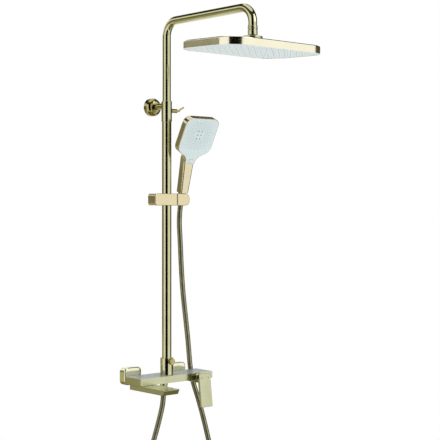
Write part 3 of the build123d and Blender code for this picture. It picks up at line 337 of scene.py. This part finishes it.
# Finishes of the solids: brushed or drawn metal, and moulded plastic or rubber.
# The strokes of all the metals come from one node group.
def brush_lines():
    """Brushing: fine noise on coordinates stretched along the strokes, and a slow cloud of handling marks."""
    group = bpy.data.node_groups.new("brush_lines", "ShaderNodeTree")
    group.interface.new_socket("Strokes", in_out="INPUT", socket_type="NodeSocketVector")
    group.interface.new_socket("Place", in_out="INPUT", socket_type="NodeSocketVector")
    group.interface.new_socket("Line", in_out="OUTPUT", socket_type="NodeSocketFloat")
    group.interface.new_socket("Cloud", in_out="OUTPUT", socket_type="NodeSocketFloat")
    enter = group.nodes.new("NodeGroupInput")
    leave = group.nodes.new("NodeGroupOutput")
    line = group.nodes.new("ShaderNodeTexNoise")
    line.inputs["Scale"].default_value = 1.0
    line.inputs["Detail"].default_value = 3.0
    line.inputs["Roughness"].default_value = 0.65
    cloud = group.nodes.new("ShaderNodeTexNoise")
    cloud.inputs["Scale"].default_value = 26.0
    cloud.inputs["Detail"].default_value = 3.0
    group.links.new(enter.outputs["Strokes"], line.inputs["Vector"])
    group.links.new(enter.outputs["Place"], cloud.inputs["Vector"])
    group.links.new(line.outputs["Fac"], leave.inputs["Line"])
    group.links.new(cloud.outputs["Fac"], leave.inputs["Cloud"])
    return group


strokes = brush_lines()


def brushed_metal(name, deep, pale, stretch, smooth, dull, relief=0.06):
    """Brushed metal: strokes run where stretch is small, and set colour, dullness and a faint relief."""
    metal, tree, shade = new_finish(name)
    shade.inputs["Metallic"].default_value = 1.0
    place = tree.nodes.new("ShaderNodeTexCoord")
    draw = tree.nodes.new("ShaderNodeMapping")
    draw.inputs["Scale"].default_value = stretch
    brush = tree.nodes.new("ShaderNodeGroup")
    brush.node_tree = strokes
    tint = tree.nodes.new("ShaderNodeMix")
    tint.data_type = "RGBA"
    tint.inputs["A"].default_value = (*deep, 1)
    tint.inputs["B"].default_value = (*pale, 1)
    blur = tree.nodes.new("ShaderNodeMapRange")
    blur.inputs["From Min"].default_value = 0.3
    blur.inputs["From Max"].default_value = 0.7
    blur.inputs["To Min"].default_value = smooth
    blur.inputs["To Max"].default_value = dull
    both = tree.nodes.new("ShaderNodeMath")
    both.operation = "MULTIPLY_ADD"
    both.inputs[1].default_value = 0.5
    half = tree.nodes.new("ShaderNodeMath")
    half.operation = "MULTIPLY"
    half.inputs[1].default_value = 0.5
    ridge = tree.nodes.new("ShaderNodeBump")
    ridge.inputs["Strength"].default_value = relief
    ridge.inputs["Distance"].default_value = 0.0003
    tree.links.new(place.outputs["Object"], draw.inputs["Vector"])
    tree.links.new(draw.outputs["Vector"], brush.inputs["Strokes"])
    tree.links.new(place.outputs["Object"], brush.inputs["Place"])
    tree.links.new(brush.outputs["Cloud"], half.inputs[0])
    tree.links.new(brush.outputs["Line"], both.inputs[0])
    tree.links.new(half.outputs[0], both.inputs[2])
    tree.links.new(both.outputs[0], tint.inputs["Factor"])
    tree.links.new(tint.outputs["Result"], shade.inputs["Base Color"])
    tree.links.new(both.outputs[0], blur.inputs["Value"])
    tree.links.new(blur.outputs["Result"], shade.inputs["Roughness"])
    tree.links.new(brush.outputs["Line"], ridge.inputs["Height"])
    tree.links.new(ridge.outputs["Normal"], shade.inputs["Normal"])
    return metal


def moulded(name, deep, pale, grain, smooth, dull, relief):
    """Moulded plastic or rubber: a mottled tint and a fine grain that sets its dullness and relief."""
    stuff, tree, shade = new_finish(name)
    place = tree.nodes.new("ShaderNodeTexCoord")
    mottle = tree.nodes.new("ShaderNodeTexNoise")
    mottle.inputs["Scale"].default_value = grain
    mottle.inputs["Detail"].default_value = 4.0
    tint = tree.nodes.new("ShaderNodeMix")
    tint.data_type = "RGBA"
    tint.inputs["A"].default_value = (*deep, 1)
    tint.inputs["B"].default_value = (*pale, 1)
    blur = tree.nodes.new("ShaderNodeMapRange")
    blur.inputs["From Min"].default_value = 0.3
    blur.inputs["From Max"].default_value = 0.7
    blur.inputs["To Min"].default_value = smooth
    blur.inputs["To Max"].default_value = dull
    skin = tree.nodes.new("ShaderNodeBump")
    skin.inputs["Strength"].default_value = relief
    skin.inputs["Distance"].default_value = 0.0002
    tree.links.new(place.outputs["Object"], mottle.inputs["Vector"])
    tree.links.new(mottle.outputs["Fac"], tint.inputs["Factor"])
    tree.links.new(tint.outputs["Result"], shade.inputs["Base Color"])
    tree.links.new(mottle.outputs["Fac"], blur.inputs["Value"])
    tree.links.new(blur.outputs["Result"], shade.inputs["Roughness"])
    tree.links.new(mottle.outputs["Fac"], skin.inputs["Height"])
    tree.links.new(skin.outputs["Normal"], shade.inputs["Normal"])
    return stuff


def brushed_gold(name, stretch):
    """The pale gold that most of the brass has, with its strokes along the small side of stretch."""
    return brushed_metal(name, (0.43, 0.43, 0.245), (0.76, 0.77, 0.53), stretch, 0.16, 0.27)


def dress(finish, *names):
    """Give these solids one finish."""
    for name in names:
        nodes[name].data.materials.clear()
        nodes[name].data.materials.append(finish)


# Wall inlets: cast eccentric unions and hexagon nuts of brushed brass, each nut sealed by a rubber gasket.
# Pressed square covers, polished, slide over the unions to the wall.
gold_across = brushed_gold("gold_brushed_across", (60, 1500, 1500))
dress(gold_across, "left_eccentric_union", "right_eccentric_union", "union_nuts")
cover_gold = brushed_metal(
    "gold_polished_cover", (0.80, 0.77, 0.50), (0.99, 0.97, 0.74), (60, 1500, 1500), 0.05, 0.10, 0.02
)
dress(cover_gold, "left_escutcheon", "right_escutcheon")
seal_rubber = moulded("seal_rubber", (0.012, 0.012, 0.012), (0.03, 0.03, 0.03), 900, 0.5, 0.7, 0.1)
dress(seal_rubber, "inlet_gaskets")


# Mixer: a cast brass bar, brushed along its length, with a smooth grey plate let into its top as a shelf.
# The bar hangs on the two unions; the plate lies in a shallow recess.
dress(gold_across, "mixer_body")
shelf_grey = moulded("shelf_plate_grey", (0.24, 0.285, 0.27), (0.34, 0.39, 0.375), 420, 0.3, 0.42, 0.04)
dress(shelf_grey, "shelf_plate")


# Lever: a flat brushed handle on a stem that turns and tips in the cartridge's carrier.
# Two enamel dots, red for hot and blue for cold, sit in its top; a small screw holds the stem.
gold_upright = brushed_gold("gold_brushed_upright", (1500, 1500, 60))
dress(gold_upright, "lever")
dress(gold_across, "cartridge_nut")
turned_steel = brushed_metal(
    "turned_steel", (0.36, 0.36, 0.36), (0.62, 0.62, 0.61), (900, 900, 900), 0.2, 0.34
)
dress(turned_steel, "lever_carrier", "lever_stem", "lever_pin", "lever_screw")
inner_plastic = moulded("inner_plastic", (0.52, 0.52, 0.50), (0.60, 0.60, 0.58), 700, 0.4, 0.55, 0.08)
dress(inner_plastic, "cartridge")
lever_x = 0.089  # hot on its left, cold on its right
enamel, tree, shade = new_finish("hot_cold_enamel")
shade.inputs["Roughness"].default_value = 0.25
place = tree.nodes.new("ShaderNodeTexCoord")
part_x = tree.nodes.new("ShaderNodeSeparateXYZ")
right = tree.nodes.new("ShaderNodeMath")
right.operation = "GREATER_THAN"
right.inputs[1].default_value = lever_x
speck = tree.nodes.new("ShaderNodeTexNoise")
speck.inputs["Scale"].default_value = 2500.0
pair = tree.nodes.new("ShaderNodeMix")
pair.data_type = "RGBA"
pair.inputs["A"].default_value = (0.33, 0.05, 0.045, 1)
pair.inputs["B"].default_value = (0.05, 0.09, 0.30, 1)
worn = tree.nodes.new("ShaderNodeMix")
worn.data_type = "RGBA"
worn.blend_type = "MULTIPLY"
worn.inputs["Factor"].default_value = 0.3
tree.links.new(place.outputs["Object"], part_x.inputs[0])
tree.links.new(part_x.outputs["X"], right.inputs[0])
tree.links.new(right.outputs[0], pair.inputs["Factor"])
tree.links.new(place.outputs["Object"], speck.inputs["Vector"])
tree.links.new(pair.outputs["Result"], worn.inputs["A"])
tree.links.new(speck.outputs["Fac"], worn.inputs["B"])
tree.links.new(worn.outputs["Result"], shade.inputs["Base Color"])
dress(enamel, "lever_marks")


# Spout: a flat cast bar that swings on a post under the mixer, brushed along its length.
# A ring seals the post, and a plastic aerator with a fine mesh is screwed into its underside.
gold_outward = brushed_gold("gold_brushed_outward", (1500, 60, 1500))
dress(gold_outward, "spout")
dress(gold_across, "spout_post")
dress(seal_rubber, "spout_ring")
dress(inner_plastic, "aerator")


# Hose outlet and its nut under the mixer: turned brass, plated as the rest.
dress(gold_across, "hose_outlet", "lower_hose_nut")


# Diverter: a turned base and housing stacked under the riser, as smooth as the tubes above them.
# The fluted knob on its spindle is darker, like the wall bracket further up.
tube_gold = brushed_metal(
    "gold_drawn_tube", (0.42, 0.41, 0.205), (0.80, 0.785, 0.50), (1900, 1900, 9), 0.07, 0.12, 0.012
)
dress(tube_gold, "diverter_base", "diverter_housing")
dark_gold = brushed_metal(
    "gold_turned_dark", (0.30, 0.265, 0.10), (0.60, 0.545, 0.26), (1500, 60, 1500), 0.10, 0.18, 0.03
)
dress(dark_gold, "diverter_knob")
dress(turned_steel, "diverter_spindle")


# Riser: a drawn steel tube with a plated sleeve at its top, in the diverter's finish, drawn along the tube.
# A plastic bush, glide ring and plug guide the upper tube in it.
dress(tube_gold, "lower_tube", "bracket_sleeve")
dress(inner_plastic, "guide_bush", "glide_ring", "tube_plug")


# Wall bracket: a domed flange and a neck from the wall to the sleeve, and a lock screw with a bent pin.
# A steel base behind the flange takes the wall screw.
dress(dark_gold, "wall_flange", "bracket_neck", "lock_screw", "lock_pin")
dress(turned_steel, "bracket_base", "base_screw")


# Arm: the upper tube, bent over at the top and down again to the rain head, brushed along its bends.
dress(tube_gold, "arm_tube")
dress(gold_across, "arm_nipple", "swivel_nut", "ball_stud")
dress(seal_rubber, "ball_seat")


# Rain head: a pressed steel tray with a bright brushed rim.
# Soft nozzles stand through its pale face, on a mat behind it.
rim_gold = brushed_metal(
    "gold_brushed_rim", (0.88, 0.825, 0.58), (0.99, 0.96, 0.77), (60, 60, 1500), 0.12, 0.2
)
dress(rim_gold, "head_shell")
dress(gold_across, "head_boss")
pale_face = moulded("pale_face", (0.66, 0.80, 0.80), (0.76, 0.89, 0.89), 500, 0.22, 0.32, 0.03)
dress(pale_face, "spray_face")
silicone = moulded("nozzle_silicone", (0.72, 0.80, 0.795), (0.80, 0.87, 0.865), 1200, 0.45, 0.6, 0.06)
dress(silicone, "nozzle_mat")
dress(inner_plastic, "water_chamber")


# Pips of the rain head: small soft domes moulded with the mat, on a finer grid between the nozzles.
# They stand on the face, so they turn and tilt with the head.
def pips(name, place, right, up, out, width, height):
    """Domes on a plane: at each place, rings of radius width cos t, raised by height sin t, and a flat cap.

    Each is sunk by a fifth of its height, so that it stands in the face and not on it.
    """
    spokes = 8
    climb = np.radians([0, 42, 76])
    each = spokes * len(climb)
    turn = np.linspace(0, 2 * np.pi, spokes, endpoint=False)
    flat = np.cos(turn)[:, None] * right + np.sin(turn)[:, None] * up
    dome = width * np.cos(climb)[:, None, None] * flat + height * (np.sin(climb) - 0.2)[:, None, None] * out
    points = place[:, None, None, :] + dome
    first = np.arange(len(place)) * each
    start, ring, spoke = np.meshgrid(first, np.arange(len(climb) - 1), np.arange(spokes), indexing="ij")
    low = start + ring * spokes
    ahead = (spoke + 1) % spokes
    corners = [low + spoke, low + ahead, low + spokes + ahead, low + spokes + spoke]
    walls = np.stack(corners, -1).reshape(-1, 4)
    caps = first[:, None] + each - spokes + np.arange(spokes)
    return smooth_mesh(name, points, walls.tolist() + caps.tolist())


def inside_rounded(x, y, half_x, half_y, corner):
    """True where a point lies in a rectangle of these half sides with round corners."""
    over_x = np.maximum(np.abs(x) - half_x + corner, 0)
    over_y = np.maximum(np.abs(y) - half_y + corner, 0)
    return np.hypot(over_x, over_y) < corner


head_tip = math.radians(2.0)
head_right = np.array([1.0, 0, 0])
head_up = np.array([0, -math.cos(head_tip), -math.sin(head_tip)])
head_out = np.array([0, math.sin(head_tip), -math.cos(head_tip)])
head_ball = np.array([0, -0.402, 0.864])
face_drop = 0.0458  # from the ball's middle to the spray face
pip_pitch = 0.01  # half the nozzles' pitch
head_face = head_ball + face_drop * head_out
last_x, last_y = 13, 8  # the outermost nozzles, in pips from the middle
cols, lines_up = np.arange(-last_x - 1, last_x + 2), np.arange(-last_y - 1, last_y + 2)
col, line_up = np.meshgrid(cols, lines_up, indexing="ij")
on_nozzle = (col % 2 == 1) & (line_up % 2 == 0) & (np.abs(col) <= last_x) & (np.abs(line_up) <= last_y)
x, y = col * pip_pitch, line_up * pip_pitch
free = inside_rounded(x, y, half_x=0.150, half_y=0.102, corner=0.052) & ~on_nozzle
spot = x[free][:, None] * head_right + y[free][:, None] * head_up + head_face
rain_pips = pips("rain_pips", spot, head_right, head_up, head_out, width=0.0011, height=0.0006)
rain_pips.data.materials.append(silicone)
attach(rain_pips, "rain_head")


# Slider and holder: plastic under a warmer gold plating, finely brushed across.
warm_gold = brushed_metal(
    "gold_plated_plastic", (0.65, 0.55, 0.325), (0.95, 0.84, 0.56), (90, 1600, 1600), 0.2, 0.3
)
dress(warm_gold, "slider_body", "holder")
dress(inner_plastic, "slider_bush")
dress(turned_steel, "pivot_bolt")


# Hand shower: a plated plastic handle that widens into a flat head, with the pale face set in its front.
# Soft nozzles stand in rings round six larger jets, and a button below them changes the spray.
hand_gold = brushed_metal(
    "gold_handle", (0.62, 0.545, 0.325), (0.96, 0.88, 0.62), (1500, 1500, 70), 0.17, 0.25, 0.03
)
dress(hand_gold, "hand_shell")
hand_pale = moulded("pale_hand_face", (0.74, 0.87, 0.87), (0.83, 0.95, 0.95), 500, 0.22, 0.32, 0.03)
dress(hand_pale, "hand_face", "mode_button")
pip_grey = moulded("pip_grey", (0.50, 0.56, 0.56), (0.60, 0.665, 0.665), 1500, 0.4, 0.55, 0.06)
nozzle_grey = moulded("nozzle_grey", (0.30, 0.36, 0.36), (0.42, 0.49, 0.49), 1500, 0.4, 0.55, 0.06)
dress(nozzle_grey, "hand_jets")
dress(pip_grey, "hand_nozzles")
dress(inner_plastic, "hose_inner_end")
dress(hand_gold, "upper_hose_nut")
dress(seal_rubber, "hose_washer")


# Pips of the hand shower: fine soft domes in rows that run out from its middle, between the nozzles.
# They are moulded in the same grey rubber and stand on the leaning face.
face_tip = math.radians(28.5)
face_up = np.array([0, -math.sin(face_tip), math.cos(face_tip)])
face_out = np.array([0, -math.cos(face_tip), -math.sin(face_tip)])
handle_up = np.array([0, -math.sin(lean), math.cos(lean)])
handle_out = np.array([0, -math.cos(lean), -math.sin(lean)])
pivot = np.array([0.049, -0.068, 0.462])  # where the handle's line crosses the holder's axis
handle_top = 0.0995
handle_front = 0.012
head_middle = 0.084  # along the face from the handle's top
face_root = pivot + handle_top * handle_up + handle_front * handle_out
face_middle = face_root + head_middle * face_up
rows = 48
first_ring = 0.0196  # the innermost ring of nozzles
ring_step = 0.0034  # half the step between the nozzles' rings
row, step = np.meshgrid(np.arange(rows), np.arange(-1, 13), indexing="ij")
reach = first_ring + ring_step * step
bearing = 2 * np.pi * row / rows
x, y = reach * np.cos(bearing), reach * np.sin(bearing)
on_nozzle = (row % 2 == 0) & (step % 2 == 0) & (step <= 6)
crowded = (row % 2 == 1) & (step < 2)
free = inside_rounded(x, y, half_x=0.0505, half_y=0.0425, corner=0.020) & ~on_nozzle & ~crowded
spot = x[free][:, None] * head_right + y[free][:, None] * face_up + face_middle
hand_pips = pips("hand_pips", spot, head_right, face_up, face_out, width=0.0007, height=0.0005)
hand_pips.data.materials.append(pip_grey)
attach(hand_pips, "hand_shower")
